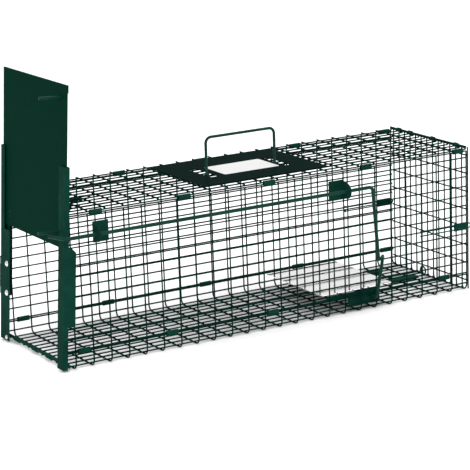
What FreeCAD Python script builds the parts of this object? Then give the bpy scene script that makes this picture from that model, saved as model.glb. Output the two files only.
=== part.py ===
"""Live catch trap: a welded mesh cage with a drop door, a foot plate and a trigger rod.

Millimetres. X runs from the doorway to the closed end, Y from the trigger side to the far
side, and Z is up. The parts are drawn from the cage corner and then moved, so that the
origin is under the middle of the whole trap, on the ground.
"""
import FreeCAD, Part
import math
import os

V = FreeCAD.Vector

# Mesh: wires 25.4 mm apart along the cage and 13.5 mm apart across and up
WIRE_R = 1.0
WELD_GAP = 0.02
LAYER = 2 * WIRE_R + WELD_GAP
LONG_PITCH = 25.4
LONG_CELLS = 24
FINE_PITCH = 13.5
LENGTH = LONG_PITCH * LONG_CELLS
WIDTH = 180.0

# Rod along the top edge of the closed end, and the sleeves that hold it
END_ROD_R = 1.0
END_ROD_SLEEVE_COLUMN = (1, 5, 9, 11)
END_ROD_SLEEVE_LENGTH = 8.0

# Floor tray with upturned lips
LIP_BEND = 8.0
LIP_LOW_WIRE_Z = 10.0
LIP_TOP_WIRE_Z = 22.3
FLOOR_FIRST_Y = 9.0
FLOOR_WIRES = 13

# Side walls
WALL_LOW_WIRE_Z = 24.7
WALL_ROWS_Z = 39.8
WALL_ROWS = 12
WALL_TOP_WIRE_Z = 197.4

# Top
TOP_WIRE_Z = 199.9
TOP_FIRST_Y = 2.25
TOP_WIRES = 14
TOP_CROSS_Z = TOP_WIRE_Z + LAYER

# Closed end
END_CROSS_X = LENGTH + 2.2
END_CROSS_FIRST_Z = 13.5
END_CROSS_WIRES = 8
END_UPRIGHT_X = END_CROSS_X + LAYER
END_TOP_Z = 202.8

# Crimped sleeves that join two edge wires
SLEEVE_LENGTH = 17.0
SLEEVE_SHEET = 1.0
SLEEVE_CLEAR = 0.2
TOP_SLEEVES_X = (36.0, 163.0, 290.0, 442.0, 593.0)
NEAR_SEAM_SLEEVES_X = (16.0, 140.0, 292.0, 577.0)
FAR_SEAM_SLEEVES_X = (13.0, 138.0, 292.0, 442.0, 597.0)

# The door and its posts lean together: they turn about the Y axis at this height
FRAME_LEAN = 3.8
FRAME_TURN_Z = 178.0
LEAN = math.radians(FRAME_LEAN)

# Guide posts: folded channels that the door slides in
SHEET = 1.0
POST_FRONT_X = -8.0
POST_REAR_X = -1.4
POST_OUT_Y = -2.2
POST_FRONT_FLANGE_Y = 15.0
POST_REAR_FLANGE_Y = 10.0
POST_BOTTOM_Z = 2.0
POST_TOP_Z = 260.0
POST_NOTCH_Z = (170.0, 208.0)
FAR_FLANGE_STEP_Z = 150.0
FAR_FLANGE_LOW_Y = 24.0
FAR_FLANGE_HIGH_Y = 8.0
POST_TAB_X = 8.5
POST_TAB_LOW_Z = 57.0
POST_TAB_HIGH_Z = 158.0
POST_TAB_CHAMFER = 6.0
FOLD_R = 0.8

# Door, shown raised
DOOR_X = -5.2
DOOR_EDGE_Y = -0.6
DOOR_BOTTOM_Z = 156.0
DOOR_HEIGHT = 205.0
DOOR_HEM = 10.0
PIN_R = 2.2
PIN_TIP_X = -34.5
PIN_TIP_ROUND = 0.9
PIN_Y = 18.0
PIN_HEIGHTS = (176.0, 344.0)
PIN_HEAD_R = 4.0
PIN_HEAD = 0.8
DOOR_RIVET_AT = (162.0, 171.5)
DOOR_RIVET_R = (2.2, 4.2)
DOOR_RIVET_RISE = 1.2

# Sill rod between the feet of the posts, with its sleeves
SILL_R = 2.0
SILL_X = -10.4
SILL_END_Y = -1.0
SILL_Z = WIRE_R + LAYER + WIRE_R + WELD_GAP + SILL_R
SILL_SLEEVE_Y = (56.25, 96.75, 150.75)
SILL_SLEEVE_LENGTH = 10.8

# Tie wire that lies on the top near the door, a ring at its end and loose rings on it
TIE_R = 1.1
TIE_BEND = 2.5
TIE_POINTS = ((3.0, 5.0), (14.0, 20.0), (5.0, 29.0), (24.0, 34.0), (16.0, 49.0), (43.0, 52.0))
TIE_END_RING_AT = (51.5, 60.0)
TIE_LOOSE_RINGS_AT = ((13.0, 13.0), (31.0, 42.0))
TIE_RING_R = 8.0

# Keeper strip on the far post
STRIP_Z = (61.0, 111.0)
STRIP_WIDTH = 8.0
STRIP_X = POST_FRONT_X + 0.4
STRIP_GAP = 0.05
STRIP_STANDOFF = 3.2
RIVET_Z = (66.0, 105.0)
RIVET_Y = 164.0
RIVET_R = 4.0

# Trigger rod and its two brackets
ROD_R = 2.4
ROD_Y = -13.0
ROD_Z = 173.5
ROD_CLEAR = 0.06
ROD_CORNER_X = -12.0
ROD_TIP = (-21.6, 14.6)
ROD_BEND = 6.0
ROD_ARM_X = 444.5
ROD_FOOT_X = 452.5
ROD_FOOT_Z = 70.5
BRACKET_PLATE_X = (31.0, 382.0)
BRACKET_EAR_AT_END = (False, True)
BRACKET_WIDTH = 22.0
BRACKET_LOW_Z = 160.5
BRACKET_HEIGHT = 27.0
EAR_R = 10.5

# Foot plate, its axle and lever
TREADLE_X = (375.0, 490.0)
TREADLE_Y = (10.0, 150.0)
TREADLE_Z = 28.5
TREADLE_EAR_X = (440.0, 464.0)
TREADLE_EAR_LOW_Z = 14.0
AXLE_X = 452.0
AXLE_Z = 18.0
AXLE_R = 2.2
AXLE_CLEAR = 0.06
AXLE_FAR_Y = 157.0
LEVER_Y = -7.8
LEVER_BEND = 5.0
LEVER_TOP_X = 463.6
LEVER_TOP_Z = 75.5
LEVER_HOOK_END = (452.5, -20.0)
HINGE_PLATE_X = (415.0, 466.0)
HINGE_PLATE_NEAR_Z = (9.0, 27.0)
HINGE_PLATE_FAR_Z = (4.3, 24.5)
HINGE_RAIL_X = 380.0
HINGE_RAIL_LOW_Z = 21.5
HINGE_PLATE_NEAR_Y = 6.0
HINGE_PLATE_FAR_Y = 153.0
HINGE_NEAR_FOOT = 2.8
HINGE_FAR_FOOT = 4.0

# Guard plate, label and carrying handle on the top
GUARD_X = (203.0, 395.0)
GUARD_Y = (18.0, 162.0)
GUARD_Z = TOP_CROSS_Z + WIRE_R + 0.1
SLOT_MIDDLE_Y = 87.0
SLOT_LENGTH = 60.0
SLOT_WIDTH = 12.0
SLOT_X = (243.0, 355.0)
LABEL_X = (260.0, 345.0)
LABEL_Y = (59.5, 114.5)
LABEL_THICK = 0.2
HANDLE_R = 1.9
HANDLE_LEG_X = (246.0, 352.0)
HANDLE_Y = TOP_FIRST_Y + 6 * FINE_PITCH
HANDLE_TOP_Z = 251.5
HANDLE_BEND = 8.0
EYE_CLEAR = 0.3

# Hairpins and cap clips that hold the closed end, and the bait ring
HAIRPIN_R = 0.9
HAIRPIN_Z = (90.0, 96.5)
HAIRPIN_START_X = 531.0
HAIRPIN_END_X = 611.0
HAIRPIN_OUT = 2.9
HAIRPIN_BALL_R = 1.7
CAP_CLIP_X = (587.0, 608.5)
CAP_CLIP_Z = (88.0, 98.5)
CAP_CLIP_OUT = (1.3, 4.8)
BAIT_RING_R = 6.0
BAIT_RING_WIRE_R = 1.1
BAIT_RING_AT = (LENGTH - 4.6, 96.75, 8.0)
FLOOR_STRAP_X = ((541.0, 589.0), (532.0, 562.0))
FLOOR_STRAP_ROW = (6, 10)
FLOOR_STRAP_WIDTH = 10.0
FLOOR_STRAP_Z = (2.2, 5.2)

# The origin, in the cage's own coordinates
HAIRPIN_LOOP = (HAIRPIN_Z[1] - HAIRPIN_Z[0]) / 2
LOWER_PIN_RISE = PIN_HEIGHTS[0] - FRAME_TURN_Z
BOX_LOW_X = PIN_TIP_X * math.cos(LEAN) + LOWER_PIN_RISE * math.sin(LEAN)
BOX_HIGH_X = HAIRPIN_END_X + HAIRPIN_LOOP + HAIRPIN_R
EAR_TIP_Y = ROD_Y - EAR_R
STRIP_OUT_Y = WIDTH - POST_OUT_Y + STRIP_STANDOFF + SHEET
ORIGIN = V((BOX_LOW_X + BOX_HIGH_X) / 2, (EAR_TIP_Y + STRIP_OUT_Y) / 2, 0)


def block(low, high):
    """A box between two corners."""
    low, high = V(*low), V(*high)
    return Part.makeBox(high.x - low.x, high.y - low.y, high.z - low.z, low)


def straight(start, end, radius):
    """A straight round wire."""
    start, end = V(*start), V(*end)
    return Part.makeCylinder(radius, (end - start).Length, start, end - start)


def bent(points, radius, bend):
    """A round wire through points, with a tangent arc of radius bend at each inner point."""
    points = [V(*p) for p in points]
    edges = []
    last = points[0]
    for before, corner, after in zip(points, points[1:], points[2:]):
        inward = (before - corner).normalize()
        onward = (after - corner).normalize()
        half_angle = inward.getAngle(onward) / 2
        reach = bend / math.tan(half_angle)
        middle = (inward + onward).normalize()
        centre = corner + middle * (bend / math.sin(half_angle))
        arc_start = corner + inward * reach
        arc_end = corner + onward * reach
        edges.append(Part.LineSegment(last, arc_start).toShape())
        edges.append(Part.Arc(arc_start, centre - middle * bend, arc_end).toShape())
        last = arc_end
    edges.append(Part.LineSegment(last, points[-1]).toShape())
    path = Part.Wire(edges)
    section = Part.Wire([Part.makeCircle(radius, points[0], points[1] - points[0])])
    return path.makePipeShell([section], True, True)


def mirrored(shape):
    """The same piece on the far side of the cage."""
    return shape.mirror(V(0, WIDTH / 2, 0), V(0, 1, 0))


def leaned(shape):
    """Lean a piece of the door frame back over the cage."""
    return shape.rotated(V(0, 0, FRAME_TURN_Z), V(0, 1, 0), FRAME_LEAN)


def wire_start(z):
    """Where a long wire of the tray or a wall starts: at the leaning post, or at the first upright."""
    post_face = POST_REAR_X / math.cos(LEAN) + (z + WIRE_R - FRAME_TURN_Z) * math.tan(LEAN)
    return min(-WIRE_R, post_face + 2 * SLEEVE_CLEAR)


def folded(shape, near_to, fold_r=FOLD_R):
    """Round the upright fold edges that stand on the given (x, y) places."""
    edges = []
    for edge in shape.Edges:
        low, high = edge.Vertexes[0].Point, edge.Vertexes[-1].Point
        upright = abs(low.x - high.x) < 0.01 and abs(low.y - high.y) < 0.01
        if upright and any(math.hypot(low.x - x, low.y - y) < 0.01 for x, y in near_to):
            edges.append(edge)
    return shape.makeFillet(fold_r, edges)


def cross_stations():
    """The places along the cage of the wires that go across or up."""
    return [i * LONG_PITCH for i in range(LONG_CELLS + 1)]


def floor_mesh():
    """Tray floor: cross wires below, long wires on them."""
    wires = []
    for x in cross_stations():
        wires.append(straight((x, LIP_BEND, WIRE_R), (x, WIDTH - LIP_BEND, WIRE_R), WIRE_R))
    for row in range(FLOOR_WIRES):
        y = FLOOR_FIRST_Y + row * FINE_PITCH
        z = WIRE_R + LAYER
        wires.append(straight((SILL_X - WIRE_R, y, z), (LENGTH + WIRE_R, y, z), WIRE_R))
    return wires


def floor_lip():
    """Near lip of the tray: the cross wires bend up, and two long wires stiffen them."""
    wires = []
    top = LIP_TOP_WIRE_Z + WIRE_R
    for x in cross_stations():
        arc_middle = V(x, LIP_BEND * (1 - math.sqrt(0.5)), WIRE_R + LIP_BEND * (1 - math.sqrt(0.5)))
        start = V(x, LIP_BEND, WIRE_R)
        bend_end = V(x, 0, WIRE_R + LIP_BEND)
        path = Part.Wire([Part.Arc(start, arc_middle, bend_end).toShape(),
                          Part.LineSegment(bend_end, V(x, 0, top)).toShape()])
        section = Part.Wire([Part.makeCircle(WIRE_R, start, V(0, 1, 0))])
        wires.append(path.makePipeShell([section], True, True))
    for z in (LIP_LOW_WIRE_Z, LIP_TOP_WIRE_Z):
        wires.append(straight((wire_start(z), LAYER, z), (LENGTH + WIRE_R, LAYER, z), WIRE_R))
    return wires


def wall_mesh():
    """Near wall: uprights outside, long wires inside."""
    wires = []
    low = WALL_LOW_WIRE_Z - WIRE_R
    high = WALL_TOP_WIRE_Z + WIRE_R
    for x in cross_stations():
        wires.append(straight((x, 0, low), (x, 0, high), WIRE_R))
    rows = [WALL_LOW_WIRE_Z] + [WALL_ROWS_Z + i * FINE_PITCH for i in range(WALL_ROWS)] + [WALL_TOP_WIRE_Z]
    for z in rows:
        wires.append(straight((wire_start(z), LAYER, z), (LENGTH + WIRE_R, LAYER, z), WIRE_R))
    return wires


def top_mesh():
    """Top: long wires below, cross wires on them."""
    wires = []
    for x in cross_stations():
        wires.append(straight((x, 0, TOP_CROSS_Z), (x, WIDTH, TOP_CROSS_Z), WIRE_R))
    for row in range(TOP_WIRES):
        y = TOP_FIRST_Y + row * FINE_PITCH
        wires.append(straight((-WIRE_R, y, TOP_WIRE_Z), (LENGTH + WIRE_R, y, TOP_WIRE_Z), WIRE_R))
    return wires


def end_mesh():
    """Closed end: cross wires inside, uprights outside."""
    wires = []
    for row in range(END_CROSS_WIRES):
        z = END_CROSS_FIRST_Z + row * LONG_PITCH
        wires.append(straight((END_CROSS_X, 0, z), (END_CROSS_X, WIDTH, z), WIRE_R))
    for column in range(TOP_WIRES):
        y = TOP_FIRST_Y + column * FINE_PITCH
        wires.append(straight((END_UPRIGHT_X, y, WIRE_R), (END_UPRIGHT_X, y, END_TOP_Z), WIRE_R))
    return wires


def obround(centre, half_height, half_width, length):
    """A bar of rounded section along X, taller than it is wide."""
    x, y, z = centre
    flat = half_height - half_width
    start = x - length / 2
    body = block((start, y - half_width, z - flat), (start + length, y + half_width, z + flat))
    for end in (z - flat, z + flat):
        body = body.fuse(Part.makeCylinder(half_width, length, V(start, y, end), V(1, 0, 0)))
    return body.removeSplitter()


def sleeve(x, y, low_z, high_z):
    """A crimped sleeve round two long wires, one above the other."""
    middle = (low_z + high_z) / 2
    inner_width = WIRE_R + SLEEVE_CLEAR
    inner_height = (high_z - low_z) / 2 + inner_width
    inner = obround((x, y, middle), inner_height, inner_width, SLEEVE_LENGTH + 1)
    outer = obround((x, y, middle), inner_height + SLEEVE_SHEET, inner_width + SLEEVE_SHEET, SLEEVE_LENGTH)
    return outer.cut(inner)


def end_rod_z():
    """The height of the rod that lies on the last cross wire of the top."""
    return TOP_CROSS_Z + WIRE_R + WELD_GAP + END_ROD_R


def end_rod():
    """Rod along the top edge of the closed end."""
    return straight((LENGTH, 0, end_rod_z()), (LENGTH, WIDTH, end_rod_z()), END_ROD_R)


def end_rod_sleeves():
    """Crimped sleeves round the rod and the cross wire under it."""
    low_z, high_z = TOP_CROSS_Z, end_rod_z()
    middle = (low_z + high_z) / 2
    half_width = END_ROD_R + SLEEVE_CLEAR
    half_height = (high_z - low_z) / 2 + half_width
    sleeves = []
    for column in END_ROD_SLEEVE_COLUMN:
        y = TOP_FIRST_Y + (column + 0.5) * FINE_PITCH
        centre = (0, 0, middle)
        inner = obround(centre, half_height, half_width, END_ROD_SLEEVE_LENGTH + 1)
        outer = obround(centre, half_height + SLEEVE_SHEET, half_width + SLEEVE_SHEET, END_ROD_SLEEVE_LENGTH)
        turned = outer.cut(inner).rotated(V(0, 0, 0), V(0, 0, 1), 90)
        sleeves.append(turned.translated(V(LENGTH, y, 0)))
    return sleeves


def shifted_clear(x):
    """Slide a sleeve's place to the middle of its mesh cell."""
    cell = math.floor(x / LONG_PITCH)
    return (cell + 0.5) * LONG_PITCH


def seam_sleeves(places):
    """Sleeves that join the tray lip to the wall."""
    return [sleeve(shifted_clear(x), LAYER, LIP_TOP_WIRE_Z, WALL_LOW_WIRE_Z) for x in places]


def top_sleeves():
    """Sleeves that join the wall to the top."""
    y = (TOP_FIRST_Y + LAYER) / 2
    return [sleeve(shifted_clear(x), y, WALL_TOP_WIRE_Z, TOP_WIRE_Z) for x in TOP_SLEEVES_X]


def guide_post(low_flange_y, high_flange_y):
    """Near guide post: a channel open to the door, with a tab against the wall."""
    side = block((POST_FRONT_X, POST_OUT_Y, POST_BOTTOM_Z), (POST_REAR_X, POST_OUT_Y + SHEET, POST_TOP_Z))
    front = block((POST_FRONT_X, POST_OUT_Y, POST_BOTTOM_Z),
                  (POST_FRONT_X + SHEET, high_flange_y, POST_TOP_Z))
    lower = block((POST_FRONT_X, POST_OUT_Y, POST_BOTTOM_Z),
                  (POST_FRONT_X + SHEET, low_flange_y, FAR_FLANGE_STEP_Z))
    rear = block((POST_REAR_X - SHEET, POST_OUT_Y, POST_BOTTOM_Z),
                 (POST_REAR_X, POST_REAR_FLANGE_Y, POST_TOP_Z))
    notch = block((POST_REAR_X - SHEET, POST_OUT_Y + SHEET, POST_NOTCH_Z[0]),
                  (POST_REAR_X, POST_REAR_FLANGE_Y, POST_NOTCH_Z[1]))
    post = side.fuse([front, lower, rear.cut(notch)]).removeSplitter()
    post = folded(post, [(POST_FRONT_X, POST_OUT_Y)])
    outline = [V(POST_REAR_X - SHEET, POST_OUT_Y, POST_TAB_LOW_Z),
               V(POST_TAB_X, POST_OUT_Y, POST_TAB_LOW_Z),
               V(POST_TAB_X, POST_OUT_Y, POST_TAB_HIGH_Z - POST_TAB_CHAMFER),
               V(POST_TAB_X - POST_TAB_CHAMFER, POST_OUT_Y, POST_TAB_HIGH_Z),
               V(POST_REAR_X - SHEET, POST_OUT_Y, POST_TAB_HIGH_Z)]
    tab = Part.Face(Part.makePolygon(outline + outline[:1])).extrude(V(0, SHEET, 0))
    return post.fuse(tab).removeSplitter()


def sill_rod():
    """Rod between the feet of the posts, on the ends of the floor's long wires."""
    return straight((SILL_X, SILL_END_Y, SILL_Z), (SILL_X, WIDTH - SILL_END_Y, SILL_Z), SILL_R)


def sill_sleeves():
    """Crimped sleeves round the sill rod."""
    inner = SILL_R + SLEEVE_CLEAR
    sleeves = []
    for y in SILL_SLEEVE_Y:
        low, high = (SILL_X, y - SILL_SLEEVE_LENGTH / 2, SILL_Z), (SILL_X, y + SILL_SLEEVE_LENGTH / 2, SILL_Z)
        sleeves.append(straight(low, high, inner + SLEEVE_SHEET).cut(straight(low, high, inner)))
    return sleeves


def tie_wire():
    """Curled wire on the top near the door: a ring at its end, and loose rings that lie on it."""
    z = TOP_CROSS_Z + WIRE_R + TIE_R + WELD_GAP
    loose_z = z + 2 * TIE_R + WELD_GAP
    tail = bent([(x, y, z) for x, y in TIE_POINTS], TIE_R, TIE_BEND)
    end_ring = Part.makeTorus(TIE_RING_R, TIE_R, V(*TIE_END_RING_AT, z), V(0, 0, 1))
    loose = [Part.makeTorus(TIE_RING_R, TIE_R, V(*place, loose_z), V(0, 0, 1)) for place in TIE_LOOSE_RINGS_AT]
    return [tail.fuse(end_ring)] + loose


def door_panel():
    """Drop door: a sheet with a hem folded back along its top edge."""
    top = DOOR_BOTTOM_Z + DOOR_HEIGHT
    far = WIDTH - DOOR_EDGE_Y
    sheet = block((DOOR_X, DOOR_EDGE_Y, DOOR_BOTTOM_Z), (DOOR_X + SHEET, far, top))
    hem = block((DOOR_X, DOOR_EDGE_Y, top - DOOR_HEM), (DOOR_X + 2 * SHEET, far, top))
    door = sheet.fuse(hem).removeSplitter()
    for z in PIN_HEIGHTS:
        door = door.cut(Part.makeCylinder(PIN_R, 3 * SHEET, V(DOOR_X - SHEET, PIN_Y, z), V(1, 0, 0)))
    return door


def door_pins():
    """Two pins that stand out of the door, riveted over at the back."""
    pins = []
    for z in PIN_HEIGHTS:
        shank = Part.makeCylinder(PIN_R, DOOR_X + SHEET - PIN_TIP_X, V(PIN_TIP_X, PIN_Y, z), V(1, 0, 0))
        tip = [e for e in shank.Edges if e.BoundBox.XMax < PIN_TIP_X + 0.01]
        shank = shank.makeFillet(PIN_TIP_ROUND, tip)
        head = Part.makeCylinder(PIN_HEAD_R, PIN_HEAD, V(DOOR_X + SHEET, PIN_Y, z), V(1, 0, 0))
        pins.append(shank.fuse(head).removeSplitter())
    return pins


def dome(place, radius, height, axis):
    """A low rivet head: a slice of a ball on a flat base."""
    ball_r = (radius ** 2 + height ** 2) / (2 * height)
    centre = V(*place) - axis * (ball_r - height)
    ball = Part.makeSphere(ball_r, centre)
    slab = Part.makeCylinder(2 * radius, height, V(*place), axis)
    return ball.common(slab)


def door_rivet():
    """Hollow rivet on the door, low at the far edge."""
    hole, rim = DOOR_RIVET_R
    place = V(DOOR_X, *DOOR_RIVET_AT)
    head = dome(place, rim, DOOR_RIVET_RISE, V(-1, 0, 0))
    return head.cut(Part.makeCylinder(hole, 2 * DOOR_RIVET_RISE, place, V(-1, 0, 0)))


def keeper_strip():
    """Plated strip that stands off the far post's side on two short arms."""
    out = WIDTH - POST_OUT_Y
    low_x, high_x = STRIP_X, STRIP_X + STRIP_WIDTH
    spine = block((low_x, out + STRIP_STANDOFF, STRIP_Z[0]),
                  (high_x, out + STRIP_STANDOFF + SHEET, STRIP_Z[1]))
    arms = [block((low_x, out + STRIP_GAP, z - RIVET_R), (high_x, out + STRIP_STANDOFF, z + RIVET_R))
            for z in RIVET_Z]
    return spine.fuse(arms).removeSplitter()


def strip_rivets():
    """Rivet heads on the far post's front, and a smaller one at its foot."""
    heads = [dome((POST_FRONT_X, RIVET_Y, z), RIVET_R, 2.0, V(-1, 0, 0)) for z in RIVET_Z]
    heads.append(dome((POST_FRONT_X, RIVET_Y, POST_BOTTOM_Z + RIVET_R), 3.0, 1.5, V(-1, 0, 0)))
    return heads


def rod_bracket(x, ear_at_end):
    """Angle bracket on the wall: a flat plate, and an ear with a round end and a hole."""
    middle = BRACKET_LOW_Z + BRACKET_HEIGHT / 2
    plate = block((x, POST_OUT_Y, BRACKET_LOW_Z), (x + BRACKET_WIDTH, POST_OUT_Y + SHEET,
                                                  BRACKET_LOW_Z + BRACKET_HEIGHT))
    ear_x = x + BRACKET_WIDTH - SHEET if ear_at_end else x
    low, high = BRACKET_LOW_Z, BRACKET_LOW_Z + BRACKET_HEIGHT
    root_y = POST_OUT_Y + SHEET
    top_touch = V(ear_x, ROD_Y, middle + EAR_R)
    low_touch = V(ear_x, ROD_Y, middle - EAR_R)
    edges = [Part.LineSegment(V(ear_x, root_y, low), V(ear_x, root_y, high)),
             Part.LineSegment(V(ear_x, root_y, high), top_touch),
             Part.Arc(top_touch, V(ear_x, ROD_Y - EAR_R, middle), low_touch),
             Part.LineSegment(low_touch, V(ear_x, root_y, low))]
    ear = Part.Face(Part.Wire([e.toShape() for e in edges])).extrude(V(SHEET, 0, 0))
    bracket = plate.fuse(ear).removeSplitter()
    hole = Part.makeCylinder(ROD_R + ROD_CLEAR, 4 * SHEET, V(ear_x - SHEET, ROD_Y, ROD_Z), V(1, 0, 0))
    return bracket.cut(hole)


def trigger_rod():
    """One bent rod: a tip beside the door pin, a long run, and an arm down to the lever."""
    tip = (ROD_TIP[0], ROD_TIP[1], ROD_Z)
    return bent([tip, (ROD_CORNER_X, ROD_Y, ROD_Z), (ROD_ARM_X, ROD_Y, ROD_Z),
                 (ROD_FOOT_X, ROD_Y, ROD_FOOT_Z)], ROD_R, ROD_BEND)


def treadle_plate():
    """Foot plate with an ear turned down at each side for the axle."""
    near, far = TREADLE_Y
    plate = block((TREADLE_X[0], near, TREADLE_Z), (TREADLE_X[1], far, TREADLE_Z + SHEET))
    ears = []
    for y in (near, far - SHEET):
        ears.append(block((TREADLE_EAR_X[0], y, TREADLE_EAR_LOW_Z),
                          (TREADLE_EAR_X[1], y + SHEET, TREADLE_Z + SHEET)))
    plate = plate.fuse(ears).removeSplitter()
    bore = Part.makeCylinder(AXLE_R, far - near + 2, V(AXLE_X, near - 1, AXLE_Z), V(0, 1, 0))
    return plate.cut(bore)


def treadle_lever():
    """Axle under the foot plate, bent up outside the wall, with a hook round the rod's arm."""
    hook_turn = (LEVER_TOP_X, LEVER_Y, LEVER_TOP_Z)
    return bent([(AXLE_X, AXLE_FAR_Y, AXLE_Z), (AXLE_X, LEVER_Y, AXLE_Z), hook_turn,
                 (*LEVER_HOOK_END, LEVER_TOP_Z)], AXLE_R, LEVER_BEND)


def axle_bore(y):
    """The hole for the axle in the bracket whose upright stands at y."""
    return Part.makeCylinder(AXLE_R + AXLE_CLEAR, 4, V(AXLE_X, y - 1, AXLE_Z), V(0, 1, 0))


def near_hinge_plate():
    """Bracket on the near lip: an upright with the axle hole, a rail beside the plate, and a foot."""
    y = HINGE_PLATE_NEAR_Y
    low, high = HINGE_PLATE_NEAR_Z
    upright = block((HINGE_PLATE_X[0], y, low), (HINGE_PLATE_X[1], y + SHEET, high))
    rail = block((HINGE_RAIL_X, y, HINGE_RAIL_LOW_Z), (HINGE_PLATE_X[1], y + SHEET, high))
    foot = block((HINGE_PLATE_X[0], y - HINGE_NEAR_FOOT, low), (HINGE_PLATE_X[1], y + SHEET, low + SHEET))
    return upright.fuse([rail, foot]).removeSplitter().cut(axle_bore(y))


def far_hinge_plate():
    """Bracket on the floor: an upright with the axle hole, and a foot on the long wires."""
    y = HINGE_PLATE_FAR_Y
    low, high = HINGE_PLATE_FAR_Z
    upright = block((HINGE_PLATE_X[0], y, low), (HINGE_PLATE_X[1], y + SHEET, high))
    foot = block((HINGE_PLATE_X[0], y, low), (HINGE_PLATE_X[1], y + SHEET + HINGE_FAR_FOOT, low + SHEET))
    return upright.fuse(foot).removeSplitter().cut(axle_bore(y))


def guard_plate():
    """Sheet on the top mesh that shields the hand, with a slot for each handle leg."""
    plate = block((GUARD_X[0], GUARD_Y[0], GUARD_Z), (GUARD_X[1], GUARD_Y[1], GUARD_Z + SHEET))
    for x in SLOT_X:
        half, reach = SLOT_WIDTH / 2, (SLOT_LENGTH - SLOT_WIDTH) / 2
        cut = block((x - half, SLOT_MIDDLE_Y - reach, GUARD_Z - 1), (x + half, SLOT_MIDDLE_Y + reach, GUARD_Z + 3))
        for y in (SLOT_MIDDLE_Y - reach, SLOT_MIDDLE_Y + reach):
            cut = cut.fuse(Part.makeCylinder(half, 4, V(x, y, GUARD_Z - 1)))
        plate = plate.cut(cut)
    return plate


def label():
    """Blank label on the guard plate."""
    top = GUARD_Z + SHEET
    return block((LABEL_X[0], LABEL_Y[0], top), (LABEL_X[1], LABEL_Y[1], top + LABEL_THICK))


def handle():
    """Carrying bail whose ends curl round one long wire of the top."""
    eye_r = WIRE_R + EYE_CLEAR + HANDLE_R
    legs_from = TOP_WIRE_Z + eye_r
    near_x, far_x = HANDLE_LEG_X
    bail = bent([(near_x, HANDLE_Y, legs_from), (near_x, HANDLE_Y, HANDLE_TOP_Z),
                 (far_x, HANDLE_Y, HANDLE_TOP_Z), (far_x, HANDLE_Y, legs_from)], HANDLE_R, HANDLE_BEND)
    eyes = [Part.makeTorus(eye_r, HANDLE_R, V(x, HANDLE_Y, TOP_WIRE_Z), V(1, 0, 0)) for x in HANDLE_LEG_X]
    return bail.fuse(eyes)


def hairpin():
    """Hairpin along the wall at the closed end: two legs with ball ends, and a round loop."""
    y = -HAIRPIN_OUT
    low, high = HAIRPIN_Z
    middle = (low + high) / 2
    loop_start, loop_end = V(HAIRPIN_END_X, y, low), V(HAIRPIN_END_X, y, high)
    path = Part.Wire([
        Part.LineSegment(V(HAIRPIN_START_X, y, low), loop_start).toShape(),
        Part.Arc(loop_start, V(HAIRPIN_END_X + HAIRPIN_LOOP, y, middle), loop_end).toShape(),
        Part.LineSegment(loop_end, V(HAIRPIN_START_X, y, high)).toShape()])
    section = Part.Wire([Part.makeCircle(HAIRPIN_R, V(HAIRPIN_START_X, y, low), V(1, 0, 0))])
    pin = path.makePipeShell([section], True, True)
    balls = [Part.makeSphere(HAIRPIN_BALL_R, V(HAIRPIN_START_X, y, z)) for z in HAIRPIN_Z]
    return pin.fuse(balls)


def cap_clip():
    """Folded sleeve that ties the hairpin's legs to the wall at the closed end."""
    low_z, high_z = CAP_CLIP_Z
    body = block((CAP_CLIP_X[0], -CAP_CLIP_OUT[1], low_z), (CAP_CLIP_X[1], -CAP_CLIP_OUT[0], high_z))
    body = body.makeFillet(1.2, [e for e in body.Edges if abs(e.Length - (CAP_CLIP_X[1] - CAP_CLIP_X[0])) < 0.01])
    for z in HAIRPIN_Z:
        body = body.cut(straight((CAP_CLIP_X[0] - 1, -HAIRPIN_OUT, z), (CAP_CLIP_X[1] + 1, -HAIRPIN_OUT, z),
                                 HAIRPIN_R + 0.05))
    return body


def bait_ring():
    """Wire ring low on the closed end, for tying bait."""
    return Part.makeTorus(BAIT_RING_R, BAIT_RING_WIRE_R, V(*BAIT_RING_AT), V(1, 0, 0))


def floor_straps():
    """Flat straps crimped over single long wires of the floor."""
    straps = []
    for (start, end), row in zip(FLOOR_STRAP_X, FLOOR_STRAP_ROW):
        y = FLOOR_FIRST_Y + row * FINE_PITCH
        z = WIRE_R + LAYER
        strap = block((start, y - FLOOR_STRAP_WIDTH / 2, FLOOR_STRAP_Z[0]),
                      (end, y + FLOOR_STRAP_WIDTH / 2, FLOOR_STRAP_Z[1]))
        long_top = [e for e in strap.Edges
                    if abs(e.Length - (end - start)) < 0.01 and e.BoundBox.ZMin > z]
        strap = strap.makeFillet(FOLD_R, long_top)
        groove = straight((start - 1, y, z), (end + 1, y, z), WIRE_R + SLEEVE_CLEAR)
        straps.append(strap.cut(groove))
    return straps


def save(name, shapes):
    """Write one node, moved to the trap's own origin."""
    if not isinstance(shapes, list):
        shapes = [shapes]
    solids = [solid for shape in shapes for solid in shape.Solids]
    for solid in solids:
        if not solid.isValid():
            raise RuntimeError(name + " has a solid that is not valid")
    moved = [solid.translated(ORIGIN * -1) for solid in solids]
    result = moved[0] if len(moved) == 1 else Part.makeCompound(moved)
    result.exportStep(os.path.join("parts", name + ".step"))


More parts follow.
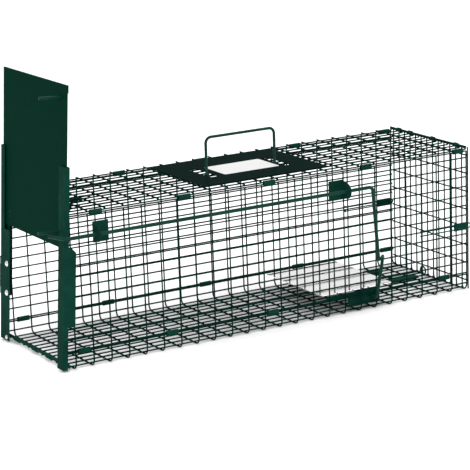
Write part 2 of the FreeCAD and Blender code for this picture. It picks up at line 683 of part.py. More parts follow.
def main():
    os.makedirs("parts", exist_ok=True)
    save("floor_mesh", floor_mesh())
    save("near_floor_lip", floor_lip())
    save("far_floor_lip", [mirrored(w) for w in floor_lip()])
    save("near_wall_mesh", wall_mesh())
    save("far_wall_mesh", [mirrored(w) for w in wall_mesh()])
    save("top_mesh", top_mesh())
    save("end_mesh", end_mesh())
    save("near_seam_sleeves", seam_sleeves(NEAR_SEAM_SLEEVES_X))
    save("far_seam_sleeves", [mirrored(s) for s in seam_sleeves(FAR_SEAM_SLEEVES_X)])
    save("near_top_sleeves", top_sleeves())
    save("far_top_sleeves", [mirrored(s) for s in top_sleeves()])
    save("end_rod", end_rod())
    save("end_rod_sleeves", end_rod_sleeves())
    save("floor_straps", floor_straps())
    save("near_guide_post", leaned(guide_post(POST_FRONT_FLANGE_Y, POST_FRONT_FLANGE_Y)))
    save("far_guide_post", leaned(mirrored(guide_post(FAR_FLANGE_LOW_Y, FAR_FLANGE_HIGH_Y))))
    save("sill_rod", sill_rod())
    save("sill_sleeves", sill_sleeves())
    save("tie_wire", tie_wire())
    save("door_panel", leaned(door_panel()))
    save("door_pins", [leaned(pin) for pin in door_pins()])
    save("door_rivet", leaned(door_rivet()))
    save("keeper_strip", leaned(keeper_strip()))
    save("strip_rivets", [leaned(head) for head in strip_rivets()])
    for name, x, at_end in zip(("front_rod_bracket", "rear_rod_bracket"), BRACKET_PLATE_X, BRACKET_EAR_AT_END):
        save(name, rod_bracket(x, at_end))
    save("trigger_rod", trigger_rod())
    save("treadle_plate", treadle_plate())
    save("treadle_lever", treadle_lever())
    save("near_hinge_plate", near_hinge_plate())
    save("far_hinge_plate", far_hinge_plate())
    save("guard_plate", guard_plate())
    save("label", label())
    save("handle", handle())
    save("near_hairpin", hairpin())
    save("far_hairpin", mirrored(hairpin()))
    save("near_cap_clip", cap_clip())
    save("far_cap_clip", mirrored(cap_clip()))
    save("bait_ring", bait_ring())


main()
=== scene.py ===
"""Live catch trap: the finished pieces, their surfaces and the studio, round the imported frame."""

import math

import bmesh
import bpy
from bpy.props import FloatProperty, FloatVectorProperty, IntProperty, PointerProperty
from mathutils import Matrix, Vector


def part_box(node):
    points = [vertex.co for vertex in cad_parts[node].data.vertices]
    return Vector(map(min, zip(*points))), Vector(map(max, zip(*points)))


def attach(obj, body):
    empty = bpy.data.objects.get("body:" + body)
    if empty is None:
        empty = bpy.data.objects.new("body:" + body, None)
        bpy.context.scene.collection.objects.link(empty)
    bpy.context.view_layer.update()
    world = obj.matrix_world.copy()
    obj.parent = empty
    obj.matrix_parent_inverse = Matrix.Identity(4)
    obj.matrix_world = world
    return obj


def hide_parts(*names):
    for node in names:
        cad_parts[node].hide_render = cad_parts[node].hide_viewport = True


bl_info = {
    "name": "Live Catch Trap",
    "version": (1, 0, 0),
    "blender": (4, 5, 0),
    "location": "View3D > Sidebar > Trap",
    "description": "Finishes a wire-mesh live catch trap round its packed frame, and sets the studio",
    "category": "Object",
}

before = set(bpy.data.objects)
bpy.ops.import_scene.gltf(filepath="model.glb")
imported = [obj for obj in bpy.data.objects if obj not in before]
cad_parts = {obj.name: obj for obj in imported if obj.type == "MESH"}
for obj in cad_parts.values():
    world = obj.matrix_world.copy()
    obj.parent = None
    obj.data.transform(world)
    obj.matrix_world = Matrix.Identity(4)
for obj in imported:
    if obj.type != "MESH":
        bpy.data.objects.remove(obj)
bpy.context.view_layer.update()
MM = 0.001
SAME_PLACE = 1e-6


# Sizes and colours that a user would change


class TrapSizes(bpy.types.PropertyGroup):
    wire_sides: IntProperty(
        name="Wire sides", description="Flat sides of each mesh wire", default=12, min=6, max=32)
    weld_spread: FloatProperty(
        name="Weld spread", description="Width of the coated weld at a crossing, in wire radii",
        default=1.28, min=1.0, max=1.6)
    weld_depth: FloatProperty(
        name="Weld depth", description="Depth of the coated weld at a crossing, in wire radii",
        default=0.95, min=0.5, max=1.4)
    sheet_ease: FloatProperty(
        name="Sheet edge", description="Radius of the eased edges of folded sheet",
        default=0.28 * MM, unit="LENGTH")
    rod_ease: FloatProperty(
        name="Rod end", description="Radius of the eased ends of rods and wires",
        default=0.35 * MM, unit="LENGTH")
    crimp_depth: FloatProperty(
        name="Crimp depth", description="How far a crimp presses into the side of a sleeve",
        default=0.45 * MM, unit="LENGTH")
    label_corner: FloatProperty(
        name="Label corner", description="Corner radius of the label", default=3.0 * MM, unit="LENGTH")


class TrapColours(bpy.types.PropertyGroup):
    coating: FloatVectorProperty(
        name="Coating", description="Bottle green coating of the mesh and the rods", subtype="COLOR",
        size=4, default=(0.0022, 0.020, 0.0145, 1.0))
    door_coating: FloatVectorProperty(
        name="Door coating", description="Bottle green paint of the door", subtype="COLOR",
        size=4, default=(0.0006, 0.0215, 0.0130, 1.0))
    post_coating: FloatVectorProperty(
        name="Post coating", description="Bottle green paint of the posts, brackets and sleeves",
        subtype="COLOR", size=4, default=(0.0040, 0.033, 0.0225, 1.0))
    guard_coating: FloatVectorProperty(
        name="Guard coating", description="Near-black green paint of the guard plate", subtype="COLOR",
        size=4, default=(0.0027, 0.0094, 0.0077, 1.0))
    zinc: FloatVectorProperty(
        name="Zinc", description="Dull zinc of the keeper strip", subtype="COLOR",
        size=4, default=(0.15, 0.17, 0.17, 1.0))
    bright_sheet: FloatVectorProperty(
        name="Bright sheet", description="Bright galvanised sheet of the foot plate", subtype="COLOR",
        size=4, default=(0.98, 0.98, 0.98, 1.0))
    bright_rivet: FloatVectorProperty(
        name="Bright rivet", description="Bright zinc of the rivets", subtype="COLOR",
        size=4, default=(0.74, 0.75, 0.76, 1.0))
    cut_steel: FloatVectorProperty(
        name="Cut steel", description="Bare steel where a rod was cut", subtype="COLOR",
        size=4, default=(0.45, 0.50, 0.49, 1.0))
    label: FloatVectorProperty(
        name="Label", description="Blank label", subtype="COLOR",
        size=4, default=(0.57, 0.57, 0.563, 1.0))
    floor: FloatVectorProperty(
        name="Floor", description="Studio floor", subtype="COLOR",
        size=4, default=(0.93, 0.93, 0.93, 1.0))


class TrapStudio(bpy.types.PropertyGroup):
    azimuth: FloatProperty(
        name="Camera azimuth", description="Angle of the camera round the trap",
        default=math.radians(-30.67), subtype="ANGLE")
    elevation: FloatProperty(
        name="Camera elevation", description="Angle of the camera above the floor",
        default=math.radians(14.14), subtype="ANGLE")
    roll: FloatProperty(
        name="Camera roll", description="Tilt of the camera round its own line of sight",
        default=math.radians(-1.87), subtype="ANGLE")
    distance: FloatProperty(
        name="Camera distance", description="From the camera to the point that it looks at",
        default=2.86581, unit="LENGTH")
    lens: FloatProperty(
        name="Lens", description="Focal length in millimetres, on a sensor 36 mm wide", default=163.09)
    target: FloatVectorProperty(
        name="Camera target", description="The point that the camera looks at",
        default=(0.00280, 0.01323, 0.10983), subtype="TRANSLATION", unit="LENGTH")
    daylight: FloatProperty(
        name="Surrounding light", description="Strength of the light from all round", default=0.85)


def sizes():
    return bpy.context.scene.trap_sizes


def colours():
    return bpy.context.scene.trap_colours


# Shader maths


class Term:
    """A socket of a finish that takes part in arithmetic."""

    def __init__(self, finish, socket):
        self.finish = finish
        self.socket = socket

    def _maths(self, operation, *terms):
        return self.finish.node("ShaderNodeMath", {"operation": operation}, dict(enumerate(terms)))

    def __add__(self, other):
        return self._maths("ADD", self, other)

    def __sub__(self, other):
        return self._maths("SUBTRACT", self, other)

    def __rsub__(self, other):
        return self._maths("SUBTRACT", other, self)

    def __mul__(self, other):
        return self._maths("MULTIPLY", self, other)

    __radd__ = __add__
    __rmul__ = __mul__


class Finish:
    """A material, with one method that makes any of its nodes."""

    MIX_SOCKETS = {"factor": 0, "a": 6, "b": 7, "out": 2}

    def __init__(self, name):
        self.material = bpy.data.materials.new(name)
        self.material.use_nodes = True
        self.tree = self.material.node_tree
        self.tree.nodes.clear()
        self.place = self.node("ShaderNodeTexCoord", out="Object")

    def node(self, kind, settings=None, sockets=None, out=0):
        """Add a node, give it its settings, then its sockets' values or links."""
        made = self.tree.nodes.new(kind)
        for name, value in (settings or {}).items():
            if name == "stops":
                self._set_stops(made.color_ramp, value)
            else:
                setattr(made, name, value)
        for key, value in (sockets or {}).items():
            if isinstance(value, Term):
                self.tree.links.new(value.socket, made.inputs[key])
            else:
                made.inputs[key].default_value = value
        return Term(self, made.outputs[out]) if len(made.outputs) else None

    @staticmethod
    def _set_stops(ramp, stops):
        while len(ramp.elements) < len(stops):
            ramp.elements.new(1.0)
        for element, (position, value) in zip(ramp.elements, stops):
            element.position = position
            element.color = (value, value, value, 1.0)

    def noise(self, scale, detail=2.0, place=None, out=0):
        return self.node("ShaderNodeTexNoise", {}, {
            "Vector": place or self.place, "Scale": scale, "Detail": detail}, out)

    def stretched(self, scale):
        """The object's coordinates, stretched by a scale along each axis."""
        return self.node("ShaderNodeMapping", {}, {"Vector": self.place, "Scale": scale})

    def ramp(self, factor, *stops):
        return self.node("ShaderNodeValToRGB", {"stops": stops}, {"Fac": factor})

    def mix(self, factor, first, second):
        keys = self.MIX_SOCKETS
        return self.node("ShaderNodeMix", {"data_type": "RGBA"}, {
            keys["factor"]: factor, keys["a"]: first, keys["b"]: second}, keys["out"])

    def bump(self, height, strength, distance):
        return self.node("ShaderNodeBump", {}, {
            "Height": height, "Strength": strength, "Distance": distance})

    def surface(self, **inputs):
        shader = self.node("ShaderNodeBsdfPrincipled", {}, {
            key.replace("_", " "): value for key, value in inputs.items()})
        self.node("ShaderNodeOutputMaterial", {}, {"Surface": shader})
        return self.material


def tinted(colour, share):
    """The same colour, lighter or darker by a share."""
    return tuple(part * share for part in colour[:3]) + (1.0,)


# Noise scales, in cells to the metre
CLOUDS = 45.0
COATING_SKIN = 620.0
COATING_GRAIN = 2600.0
SCUFFS = (90.0, 240.0, 240.0)
ZINC_HAZE = 28.0
SAW_LINES = (900.0, 7000.0, 1800.0)
PAPER_FIBRES = 1800.0
PAPER_BLUSH = 30.0
FLOOR_CLOUDS = 0.6

# Depths of the fine relief
COATING_RELIEF = 0.12 * MM
ZINC_RELIEF = 0.04 * MM
SAW_RELIEF = 0.05 * MM
PAPER_RELIEF = 0.03 * MM

# Where a rub has worn the coating
RUBBED_GREY = (0.06, 0.085, 0.08, 1.0)


def paint(name, colour, roughness, rubbed=0.0, gloss=0.004, clouding=0.2):
    """Dipped or sprayed green coating: faint clouds, an even skin, and rubs down to grey."""
    finish = Finish(name)
    cloud = finish.noise(CLOUDS, 4.0)
    skin = finish.noise(COATING_SKIN, 3.0)
    grain = finish.noise(COATING_GRAIN, 1.0)
    clouds = finish.ramp(cloud, (0.32, 0.0), (0.68, 1.0))
    shade = finish.mix(clouds, tinted(colour, 1 - clouding), tinted(colour, 1 + clouding))
    scuff_field = finish.noise(1.0, 5.0, finish.stretched(SCUFFS))
    scuff = finish.ramp(scuff_field, (0.66, 0.0), (0.74, 1.0)) * rubbed
    shade = finish.mix(scuff, shade, RUBBED_GREY)
    rough = (cloud - 0.5) * 0.14 + (grain - 0.5) * 0.08 + roughness + scuff * 0.2
    normal = finish.bump(skin * 0.8 + grain * 0.2, 0.28, COATING_RELIEF)
    return finish.surface(Base_Color=shade, Roughness=rough, Specular_IOR_Level=gloss, Normal=normal)


def galvanised(name, colour, roughness, spangle, grain_along, texture=1.0):
    """Zinc: crystals that differ a little in tone and gloss, and fine rolling lines."""
    finish = Finish(name)
    crystals = finish.node(
        "ShaderNodeTexVoronoi", {}, {"Vector": finish.place, "Scale": spangle}, out="Color")
    tone = finish.node("ShaderNodeSeparateColor", {}, {"Color": crystals})
    lines = finish.noise(1.0, 3.0, finish.stretched(grain_along))
    haze = finish.noise(ZINC_HAZE, 4.0)
    dark, light = tinted(colour, 1 - 0.16 * texture), tinted(colour, 1 + 0.12 * texture)
    shade = finish.mix(tone * 0.55 + haze * 0.45, dark, light)
    rough = ((tone - 0.5) * 0.10 + (lines - 0.5) * 0.10 + (haze - 0.5) * 0.06) * texture + roughness
    normal = finish.bump(lines, 0.10 * texture, ZINC_RELIEF)
    return finish.surface(Base_Color=shade, Roughness=rough, Metallic=1.0, Normal=normal)


def bare_steel(name, colour):
    """Sawn or sheared steel at the cut ends."""
    finish = Finish(name)
    lines = finish.noise(1.0, 2.0, finish.stretched(SAW_LINES))
    shade = finish.mix(lines, tinted(colour, 0.7), tinted(colour, 1.15))
    return finish.surface(Base_Color=shade, Roughness=lines * 0.2 + 0.3, Metallic=1.0,
                          Normal=finish.bump(lines, 0.3, SAW_RELIEF))


def label_paper(name, colour):
    """Coated paper: an even white with a slight tooth and a soft gloss."""
    finish = Finish(name)
    fibres = finish.noise(PAPER_FIBRES, 4.0)
    blush = finish.noise(PAPER_BLUSH, 3.0)
    shade = finish.mix(blush, tinted(colour, 0.955), tinted(colour, 1.02))
    rough = (fibres - 0.5) * 0.12 + 0.46
    return finish.surface(Base_Color=shade, Roughness=rough, Coat_Weight=0.25, Coat_Roughness=0.3,
                          Normal=finish.bump(fibres, 0.12, PAPER_RELIEF))


# Rolling lines, as noise scales along X, Y and Z: high across a line, low along it
STRIP_GRAIN = (300.0, 300.0, 4000.0)
PLATE_GRAIN = (260.0, 2600.0, 260.0)
RIVET_GRAIN = (1500.0, 1500.0, 1500.0)

# How each finish is made from the user's colours
MAKERS = {
    "mesh_coating": lambda name, tone: paint(name, tone.coating, 0.40, 0.25),
    "green_paint": lambda name, tone: paint(name, tone.post_coating, 0.42, 0.35),
    "door_paint": lambda name, tone: paint(name, tone.door_coating, 0.45, 0.2, clouding=0.05),
    "rod_paint": lambda name, tone: paint(name, tone.post_coating, 0.30, 0.3, gloss=0.06),
    "dark_plate": lambda name, tone: paint(
        name, tone.guard_coating, 0.30, 0.3, gloss=0.0003, clouding=0.1),
    "galvanised": lambda name, tone: galvanised(name, tone.zinc, 0.40, 260.0, STRIP_GRAIN),
    "bright_plate": lambda name, tone: galvanised(
        name, tone.bright_sheet, 0.06, 60.0, PLATE_GRAIN, texture=0.3),
    "plated_rivet": lambda name, tone: galvanised(name, tone.bright_rivet, 0.22, 900.0, RIVET_GRAIN),
    "cut_steel": lambda name, tone: bare_steel(name, tone.cut_steel),
    "label_white": lambda name, tone: label_paper(name, tone.label),
}
MADE = {}


def finish_of(look):
    """The material of a look, made when it is first used."""
    if look not in MADE:
        MADE[look] = MAKERS[look](look, colours())
    return MADE[look]


# Modelling helpers


def choose(*objects):
    """Select only these objects, the first one active."""
    bpy.ops.object.select_all(action="DESELECT")
    for item in objects:
        item.select_set(True)
    bpy.context.view_layer.objects.active = objects[0]


class Editing:
    """Edit mode on one object, as a with-block."""

    def __init__(self, item, select="SELECT", mode="VERT"):
        self.item = item
        self.select = select
        self.mode = mode

    def __enter__(self):
        choose(self.item)
        bpy.ops.object.mode_set(mode="EDIT")
        bpy.ops.mesh.select_mode(type=self.mode)
        bpy.ops.mesh.select_all(action=self.select)
        return self

    def __exit__(self, *_):
        bpy.ops.object.mode_set(mode="OBJECT")

    def pick(self, test, kind="verts"):
        """Select only the vertices, edges or faces that pass a test."""
        bpy.ops.mesh.select_all(action="DESELECT")
        form = bmesh.from_edit_mesh(self.item.data)
        for part in getattr(form, kind):
            if test(part):
                part.select_set(True)
        form.select_flush(True)
        bmesh.update_edit_mesh(self.item.data)


def applied(item, kind, **settings):
    """Add a modifier and apply it."""
    choose(item)
    modifier = item.modifiers.new(kind.title(), kind)
    for name, value in settings.items():
        setattr(modifier, name, value)
    bpy.ops.object.modifier_apply(modifier=modifier.name)
    return item


def at_origin(item):
    """Put an object's place, turn and scale into its mesh."""
    choose(item)
    bpy.ops.object.transform_apply(location=True, rotation=True, scale=True)
    return item


def joined(items):
    """One object from several."""
    choose(*items)
    if len(items) > 1:
        bpy.ops.object.join()
    return items[0]


def outward(item):
    """Merge doubles and turn every face outwards."""
    with Editing(item):
        bpy.ops.mesh.remove_doubles(threshold=SAME_PLACE)
        bpy.ops.mesh.normals_make_consistent(inside=False)
    return item


def new_object(name, data):
    """A new object round a mesh, a light or a camera."""
    item = bpy.data.objects.new(name, data)
    bpy.context.scene.collection.objects.link(item)
    return item


def finished(item, name, body, slot, nodes, look=None, angle=40.0):
    """Name a piece, shade it, give it its finish and hang it on its body, in its nodes' place."""
    item.name = name
    item.data.name = name
    at_origin(item)
    bpy.ops.object.shade_smooth_by_angle(angle=math.radians(angle))
    item.data.materials.append(finish_of(look or slot))
    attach(item, body)
    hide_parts(*nodes)
    return item


# Angles in degrees: faces flatter than the first are one face, edges sharper than the second are eased
FLAT_ANGLE = 0.4
EASE_ANGLE = 32.0


def cad_copy(node):
    """A merged copy of a CAD node, with its flat faces whole again."""
    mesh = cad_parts[node].data.copy()
    mesh.materials.clear()
    item = new_object(node + "_copy", mesh)
    with Editing(item):
        bpy.ops.mesh.remove_doubles(threshold=SAME_PLACE)
        bpy.ops.mesh.dissolve_limited(angle_limit=math.radians(FLAT_ANGLE))
    return item


def eased(node, radius):
    """A CAD node's copy with its sharp edges eased."""
    return applied(cad_copy(node), "BEVEL", width=radius, segments=2, limit_method="ANGLE",
                   angle_limit=math.radians(EASE_ANGLE), miter_outer="MITER_ARC")


def flat_faced(item):
    """Keep the broad faces evenly lit, and let the eased edges carry the turn."""
    return applied(item, "WEIGHTED_NORMAL", keep_sharp=True, weight=100)


def solids(node):
    """The lowest and highest corner of each separate solid of a CAD node."""
    form = bmesh.new()
    form.from_mesh(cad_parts[node].data)
    bmesh.ops.remove_doubles(form, verts=form.verts, dist=SAME_PLACE)
    form.verts.ensure_lookup_table()
    seen = [False] * len(form.verts)
    form.verts.index_update()
    found = []
    for start in range(len(seen)):
        if seen[start]:
            continue
        seen[start] = True
        queue, members = [form.verts[start]], []
        while queue:
            vertex = queue.pop()
            members.append(vertex.co)
            for edge in vertex.link_edges:
                other = edge.other_vert(vertex)
                if not seen[other.index]:
                    seen[other.index] = True
                    queue.append(other)
        low = Vector([min(point[i] for point in members) for i in range(3)])
        high = Vector([max(point[i] for point in members) for i in range(3)])
        found.append((low, high))
    form.free()
    return found


def stamped(pattern, places):
    """Copies of a finished pattern, one at each place, in one mesh. The pattern is used up."""
    form = bmesh.new()
    for place in places:
        first = len(form.verts)
        form.from_mesh(pattern.data)
        form.verts.ensure_lookup_table()
        bmesh.ops.translate(form, verts=form.verts[first:], vec=place)
    form.to_mesh(pattern.data)
    form.free()
    return pattern


# Wire mesh


class Wire:
    """A straight wire of a CAD panel, read from its box."""

    def __init__(self, low, high):
        spans = high - low
        self.axis = max(range(3), key=lambda i: spans[i])
        self.length = spans[self.axis]
        self.radius = min(spans) / 2
        self.middle = (low + high) / 2


AXIS_TURN = ((0, math.pi / 2, 0), (math.pi / 2, 0, 0), (0, 0, 0))

# The largest turn, in degrees, over which a wire is shaded smooth
WIRE_ANGLE = 50.0

# Wires this near to each other, in wire radii between their middles, count as touching
TOUCH_REACH = 2.2


def wire_pattern(axis, length, radius):
    """One straight wire with eased ends, lying along an axis through the origin."""
    bpy.ops.mesh.primitive_cylinder_add(
        vertices=sizes().wire_sides, radius=radius, depth=length, rotation=AXIS_TURN[axis])
    item = at_origin(bpy.context.object)
    end = length / 2 - SAME_PLACE
    with Editing(item, mode="EDGE") as edit:
        edit.pick(lambda e: all(abs(v.co[axis]) > end for v in e.verts), "edges")
        bpy.ops.mesh.bevel(offset=sizes().rod_ease, segments=1, affect="EDGES")
    return item


def weld_pattern(normal_axis, radius):
    """The coated weld between two crossing wires: a low round lump."""
    bpy.ops.mesh.primitive_uv_sphere_add(segments=8, ring_count=5, radius=1.0)
    item = bpy.context.object
    spread, depth = radius * sizes().weld_spread, radius * sizes().weld_depth
    item.scale = [depth if axis == normal_axis else spread for axis in range(3)]
    return at_origin(item)


def crossings(wires):
    """Where two wires of a panel touch, by the axis that they touch along."""
    found = {}
    for number, one in enumerate(wires):
        for other in wires[number + 1:]:
            if one.axis == other.axis:
                continue
            normal = 3 - one.axis - other.axis
            if abs(one.middle[normal] - other.middle[normal]) > TOUCH_REACH * one.radius:
                continue
            point = Vector(one.middle)
            point[one.axis] = other.middle[one.axis]
            point[normal] = (one.middle[normal] + other.middle[normal]) / 2
            on_one = abs(point[one.axis] - one.middle[one.axis]) <= one.length / 2
            on_other = abs(point[other.axis] - other.middle[other.axis]) <= other.length / 2
            if on_one and on_other:
                found.setdefault(normal, []).append(point)
    return found


def welded_panel(node):
    """A flat panel of a CAD node's wires, coated and welded where they cross."""
    wires = [Wire(low, high) for low, high in solids(node)]
    groups = {}
    for wire in wires:
        kind = (wire.axis, round(wire.length, 5), round(wire.radius, 6))
        groups.setdefault(kind, []).append(wire.middle)
    parts = [stamped(wire_pattern(*key), places) for key, places in groups.items()]
    radius = wires[0].radius
    parts += [stamped(weld_pattern(normal, radius), places)
              for normal, places in crossings(wires).items()]
    return joined(parts)


def bent_lip(node):
    """A tray lip: the bent wires as they are, and welds along the two long wires."""
    item = cad_copy(node)
    wires = [Wire(low, high) for low, high in solids(node)]
    radius = wires[0].radius
    long_wires = [wire for wire in wires if wire.axis == 0]
    uprights = [wire for wire in wires if wire.axis == 2]
    outer = -1 if long_wires[0].middle.y < 0 else 1
    places = []
    for upright in uprights:
        for long_wire in long_wires:
            y = long_wire.middle.y + outer * radius
            places.append(Vector((upright.middle.x, y, long_wire.middle.z)))
    return joined([item, stamped(weld_pattern(1, radius), places)])


class TRAP_OT_mesh_panels(bpy.types.Operator):
    """Make the floor, walls, top and closed end from coated welded wires"""

    bl_idname = "trap.mesh_panels"
    bl_label = "Mesh Panels"

    def execute(self, context):
        for node in ("floor_mesh", "near_wall_mesh", "far_wall_mesh", "top_mesh", "end_mesh"):
            finished(welded_panel(node), node + "_welded", "cage", "green_paint", [node],
                     "mesh_coating", WIRE_ANGLE)
        return {"FINISHED"}


class TRAP_OT_tray_lips(bpy.types.Operator):
    """Make the upturned lips of the floor tray"""

    bl_idname = "trap.tray_lips"
    bl_label = "Tray Lips"

    def execute(self, context):
        for node in ("near_floor_lip", "far_floor_lip"):
            finished(bent_lip(node), node + "_welded", "cage", "green_paint", [node],
                     "mesh_coating", WIRE_ANGLE)
        return {"FINISHED"}


# Sleeves

SLEEVE_SIDES = 20
SLEEVE_WALL = 0.8 * MM
SLEEVE_EDGE = 0.15 * MM

# Stations along a sleeve, as a share of its length, and how far each is pressed in
CRIMPS = ((0.0, 0.0), (0.07, 0.0), (0.22, 0.0), (0.30, 1.0), (0.38, 0.0), (0.62, 0.0), (0.70, 1.0),
          (0.78, 0.0), (0.93, 0.0), (1.0, 0.0))


def sleeve_pattern(low, high):
    """A sheet sleeve along X, pressed in at two places, round its own middle."""
    length, width, height = high - low
    bpy.ops.mesh.primitive_circle_add(
        vertices=SLEEVE_SIDES, radius=width / 2, location=(-length / 2, 0, 0), rotation=AXIS_TURN[0])
    item = at_origin(bpy.context.object)
    straight = (height - width) / 2
    with Editing(item) as edit:
        for side in (1, -1):
            edit.pick(lambda v, side=side: v.co.z * side > SAME_PLACE)
            bpy.ops.transform.translate(value=(0, 0, side * straight))
        bpy.ops.mesh.select_all(action="SELECT")
        for (before, _), (after, _) in zip(CRIMPS, CRIMPS[1:]):
            bpy.ops.mesh.extrude_region_move(
                TRANSFORM_OT_translate={"value": ((after - before) * length, 0, 0)})
        for share, press in CRIMPS:
            station = (share - 0.5) * length
            edit.pick(lambda v, x=station: abs(v.co.x - x) < SAME_PLACE * 10)
            narrow = 1 - press * sizes().crimp_depth / (width / 2)
            bpy.ops.transform.resize(value=(1, narrow, 1), center_override=(station, 0, 0))
    outward(item)
    applied(item, "SOLIDIFY", thickness=SLEEVE_WALL, offset=-1.0)
    return applied(item, "BEVEL", width=SLEEVE_EDGE, segments=2, limit_method="ANGLE",
                   angle_limit=math.radians(50))


class TRAP_OT_sleeves(bpy.types.Operator):
    """Make the crimped sleeves that join the panels, and the straps on the floor"""

    bl_idname = "trap.sleeves"
    bl_label = "Sleeves"

    def execute(self, context):
        for node in ("near_seam_sleeves", "far_seam_sleeves", "near_top_sleeves", "far_top_sleeves"):
            boxes = solids(node)
            places = [(low + high) / 2 for low, high in boxes]
            item = stamped(sleeve_pattern(*boxes[0]), places)
            finished(item, node + "_crimped", "cage", "green_paint", [node])
        straps = eased("floor_straps", sizes().sheet_ease)
        finished(straps, "floor_straps_folded", "cage", "green_paint", ["floor_straps"])
        return {"FINISHED"}


# Sheet and rod pieces


def eased_pieces(rows, body, radius, look=None):
    """Finish several CAD nodes of one body in the same way."""
    made = {}
    for node, slot in rows:
        item = finished(eased(node, radius), node + "_eased", body, slot, [node], look)
        made[node] = flat_faced(item)
    return made


# How far from the rod's two ends the sawn faces lie, and how squarely they face along it
CUT_REACH = 3 * MM
FOOT_FACING = 0.9
TIP_FACING = 0.85


def bare_ends(item, tests):
    """Give the faces that pass a test the look of cut steel."""
    item.data.materials.append(finish_of("cut_steel"))
    for face in item.data.polygons:
        if any(test(face.center, face.normal) for test in tests):
            face.material_index = 1


class TRAP_OT_guide_posts(bpy.types.Operator):
    """Make the two channels that the door slides in"""

    bl_idname = "trap.guide_posts"
    bl_label = "Guide Posts"

    def execute(self, context):
        rows = [(node, "green_paint") for node in ("near_guide_post", "far_guide_post")]
        eased_pieces(rows, "cage", sizes().sheet_ease)
        return {"FINISHED"}


class TRAP_OT_sill(bpy.types.Operator):
    """Make the sill rod with its sleeves, and the tie wire on the top"""

    bl_idname = "trap.sill"
    bl_label = "Sill and Tie Wire"

    def execute(self, context):
        eased_pieces([("sill_rod", "green_paint")], "cage", sizes().rod_ease)
        eased_pieces([("sill_sleeves", "green_paint")], "cage", sizes().sheet_ease)
        finished(cad_copy("tie_wire"), "tie_wire_curl", "cage", "green_paint", ["tie_wire"],
                 "mesh_coating")
        return {"FINISHED"}


class TRAP_OT_keeper(bpy.types.Operator):
    """Make the plated keeper strip and its rivets"""

    bl_idname = "trap.keeper"
    bl_label = "Keeper Strip"

    def execute(self, context):
        eased_pieces([("keeper_strip", "galvanised")], "cage", sizes().sheet_ease)
        eased_pieces([("strip_rivets", "plated_rivet")], "cage", sizes().sheet_ease * 0.5)
        return {"FINISHED"}


class TRAP_OT_door(bpy.types.Operator):
    """Make the drop door with its pins and rivet"""

    bl_idname = "trap.door"
    bl_label = "Drop Door"

    def execute(self, context):
        eased_pieces([("door_panel", "green_paint")], "door", sizes().sheet_ease, look="door_paint")
        eased_pieces([("door_pins", "green_paint")], "door", sizes().sheet_ease * 0.6, look="rod_paint")
        eased_pieces([("door_rivet", "green_paint")], "door", sizes().sheet_ease * 0.5)
        return {"FINISHED"}


class TRAP_OT_trigger(bpy.types.Operator):
    """Make the trigger rod and its two brackets"""

    bl_idname = "trap.trigger"
    bl_label = "Trigger Rod"

    def execute(self, context):
        made = eased_pieces([("trigger_rod", "green_paint")], "trigger", sizes().rod_ease,
                            look="rod_paint")
        low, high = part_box("trigger_rod")
        near_foot = low.z + CUT_REACH
        near_tip = high.y - CUT_REACH
        bare_ends(made["trigger_rod"], [lambda c, n: c.z < near_foot and n.z < -FOOT_FACING,
                                        lambda c, n: c.y > near_tip and n.y > TIP_FACING])
        rows = [(node, "green_paint") for node in ("front_rod_bracket", "rear_rod_bracket")]
        eased_pieces(rows, "cage", sizes().sheet_ease)
        return {"FINISHED"}


class TRAP_OT_foot_plate(bpy.types.Operator):
    """Make the foot plate, its lever and its floor brackets"""

    bl_idname = "trap.foot_plate"
    bl_label = "Foot Plate"

    def execute(self, context):
        eased_pieces([("treadle_plate", "bright_plate")], "treadle", sizes().sheet_ease)
        eased_pieces([("treadle_lever", "green_paint")], "treadle", sizes().rod_ease, look="rod_paint")
        rows = [(node, "green_paint") for node in ("near_hinge_plate", "far_hinge_plate")]
        eased_pieces(rows, "cage", sizes().sheet_ease)
        return {"FINISHED"}


LABEL_EDGE = 0.06 * MM


def blank_label():
    """A thin blank sheet with round corners, at the CAD label's place."""
    low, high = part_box("label")
    middle = ((low.x + high.x) / 2, (low.y + high.y) / 2, low.z)
    bpy.ops.mesh.primitive_plane_add(size=1.0, location=middle)
    item = bpy.context.object
    item.scale = (high.x - low.x, high.y - low.y, 1)
    at_origin(item)
    with Editing(item):
        bpy.ops.mesh.bevel(offset=sizes().label_corner, segments=6, affect="VERTICES")
        bpy.ops.mesh.extrude_region_move(TRANSFORM_OT_translate={"value": (0, 0, high.z - low.z)})
    outward(item)
    return applied(item, "BEVEL", width=LABEL_EDGE, segments=1, limit_method="ANGLE",
                   angle_limit=math.radians(60))


class TRAP_OT_guard(bpy.types.Operator):
    """Make the guard plate, its blank label and the carrying handle"""

    bl_idname = "trap.guard"
    bl_label = "Guard Plate and Handle"

    def execute(self, context):
        eased_pieces([("guard_plate", "dark_plate")], "cage", sizes().sheet_ease)
        finished(blank_label(), "label_blank", "cage", "label_white", ["label"])
        handle = cad_copy("handle")
        finished(handle, "handle_bail", "handle", "green_paint", ["handle"], "rod_paint")
        return {"FINISHED"}


HAIRPIN_EDGE = 0.1 * MM


class TRAP_OT_end_fittings(bpy.types.Operator):
    """Make the top rod, hairpins, cap clips and bait ring of the closed end"""

    bl_idname = "trap.end_fittings"
    bl_label = "End Fittings"

    def execute(self, context):
        eased_pieces([("end_rod", "green_paint")], "cage", sizes().rod_ease)
        eased_pieces([("end_rod_sleeves", "green_paint")], "cage", sizes().sheet_ease)
        pins = [(node, "green_paint") for node in ("near_hairpin", "far_hairpin")]
        eased_pieces(pins, "cage", HAIRPIN_EDGE)
        clips = [(node, "green_paint") for node in ("near_cap_clip", "far_cap_clip")]
        eased_pieces(clips, "cage", sizes().sheet_ease)
        finished(cad_copy("bait_ring"), "bait_ring_wire", "cage", "green_paint", ["bait_ring"])
        return {"FINISHED"}


# Studio


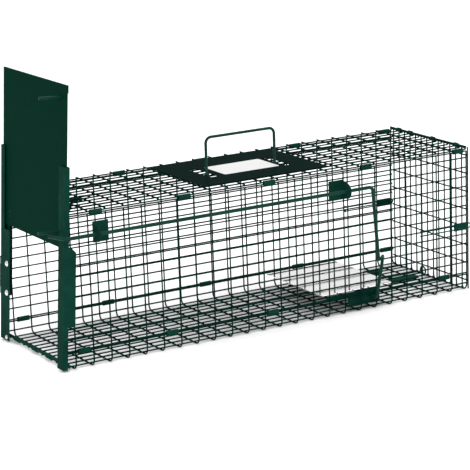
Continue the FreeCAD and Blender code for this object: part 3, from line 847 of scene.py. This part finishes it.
def softbox(name, place, size, power):
    """A rectangular area light that faces the trap."""
    light = bpy.data.lights.new(name, "AREA")
    light.shape = "RECTANGLE"
    light.size, light.size_y = size
    light.energy = power
    item = new_object(name, light)
    item.location = place
    item.rotation_mode = "QUATERNION"
    item.rotation_quaternion = (Vector(SOFTBOX_AIM) - Vector(place)).to_track_quat("-Z", "Y")


def studio_camera():
    """The camera, turned round the trap by its azimuth, elevation and roll."""
    studio = bpy.context.scene.trap_studio
    a, e, r = studio.azimuth, studio.elevation, studio.roll
    back = Vector((math.sin(a) * math.cos(e), -math.cos(a) * math.cos(e), math.sin(e)))
    right = Vector((math.cos(a), math.sin(a), 0))
    up = back.cross(right)
    turned_right = right * math.cos(r) + up * math.sin(r)
    turned_up = up * math.cos(r) - right * math.sin(r)
    lens = bpy.data.cameras.new("studio_camera")
    lens.sensor_width = 36.0
    lens.lens = studio.lens
    lens.clip_start, lens.clip_end = 0.05, 100.0
    camera = new_object("studio_camera", lens)
    turn = Matrix((turned_right, turned_up, back)).transposed().to_4x4()
    camera.matrix_world = Matrix.Translation(Vector(studio.target) + back * studio.distance) @ turn
    bpy.context.scene.camera = camera


def floor_finish():
    """Pale seamless paper."""
    finish = Finish("studio_floor")
    cloud = finish.noise(FLOOR_CLOUDS, 3.0)
    tone = colours().floor
    shade = finish.mix(cloud, tinted(tone, 0.985), tinted(tone, 1.0))
    return finish.surface(Base_Color=shade, Roughness=0.9, Specular_IOR_Level=0.0)


# Softboxes: name, place, width and height in metres, power in watts
SOFTBOXES = (
    ("key_softbox", (-1.6, -2.2, 2.6), (1.6, 1.6), 55.0),
    ("top_softbox", (0.3, 0.5, 3.2), (2.6, 2.6), 60.0),
    ("fill_softbox", (2.8, -1.4, 1.6), (1.4, 2.0), 25.0),
)
SOFTBOX_AIM = (0, 0, 0.1)
FLOOR_SIZE = 60.0


class TRAP_OT_stage(bpy.types.Operator):
    """Set the floor, the lights and the camera"""

    bl_idname = "trap.stage"
    bl_label = "Stage"

    def execute(self, context):
        bpy.ops.mesh.primitive_plane_add(size=FLOOR_SIZE, location=(0, 0, 0))
        floor = bpy.context.object
        floor.name = "studio_floor"
        with Editing(floor):
            bpy.ops.mesh.subdivide(number_cuts=3)
        floor.data.materials.append(floor_finish())
        world = bpy.data.worlds.new("studio_light")
        world.use_nodes = True
        background = world.node_tree.nodes["Background"]
        background.inputs["Color"].default_value = (1.0, 1.0, 1.0, 1.0)
        background.inputs["Strength"].default_value = context.scene.trap_studio.daylight
        context.scene.world = world
        for name, place, size, power in SOFTBOXES:
            softbox(name, place, size, power)
        studio_camera()
        context.scene.view_settings.view_transform = "Standard"
        return {"FINISHED"}


class TRAP_PT_panel(bpy.types.Panel):
    """Sidebar panel that lists the steps in order"""

    bl_idname = "TRAP_PT_panel"
    bl_label = "Live Catch Trap"
    bl_space_type = "VIEW_3D"
    bl_region_type = "UI"
    bl_category = "Trap"

    def draw(self, context):
        for group in (context.scene.trap_sizes, context.scene.trap_colours, context.scene.trap_studio):
            box = self.layout.box()
            for name in group.bl_rna.properties.keys():
                if name not in ("rna_type", "name"):
                    box.prop(group, name)
        for step in STEPS:
            self.layout.operator(step.bl_idname)


STEPS = (TRAP_OT_mesh_panels, TRAP_OT_tray_lips, TRAP_OT_sleeves, TRAP_OT_guide_posts,
         TRAP_OT_sill, TRAP_OT_keeper, TRAP_OT_door, TRAP_OT_trigger, TRAP_OT_foot_plate,
         TRAP_OT_guard, TRAP_OT_end_fittings, TRAP_OT_stage)
GROUPS = {"trap_sizes": TrapSizes, "trap_colours": TrapColours, "trap_studio": TrapStudio}
CLASSES = (*GROUPS.values(), *STEPS, TRAP_PT_panel)


def register():
    for item in CLASSES:
        bpy.utils.register_class(item)
    for name, group in GROUPS.items():
        setattr(bpy.types.Scene, name, PointerProperty(type=group))


def unregister():
    for name in GROUPS:
        delattr(bpy.types.Scene, name)
    for item in reversed(CLASSES):
        bpy.utils.unregister_class(item)


def main():
    register()
    for step in STEPS:
        area, name = step.bl_idname.split(".")
        getattr(getattr(bpy.ops, area), name)()


if __name__ == "__main__":
    main()
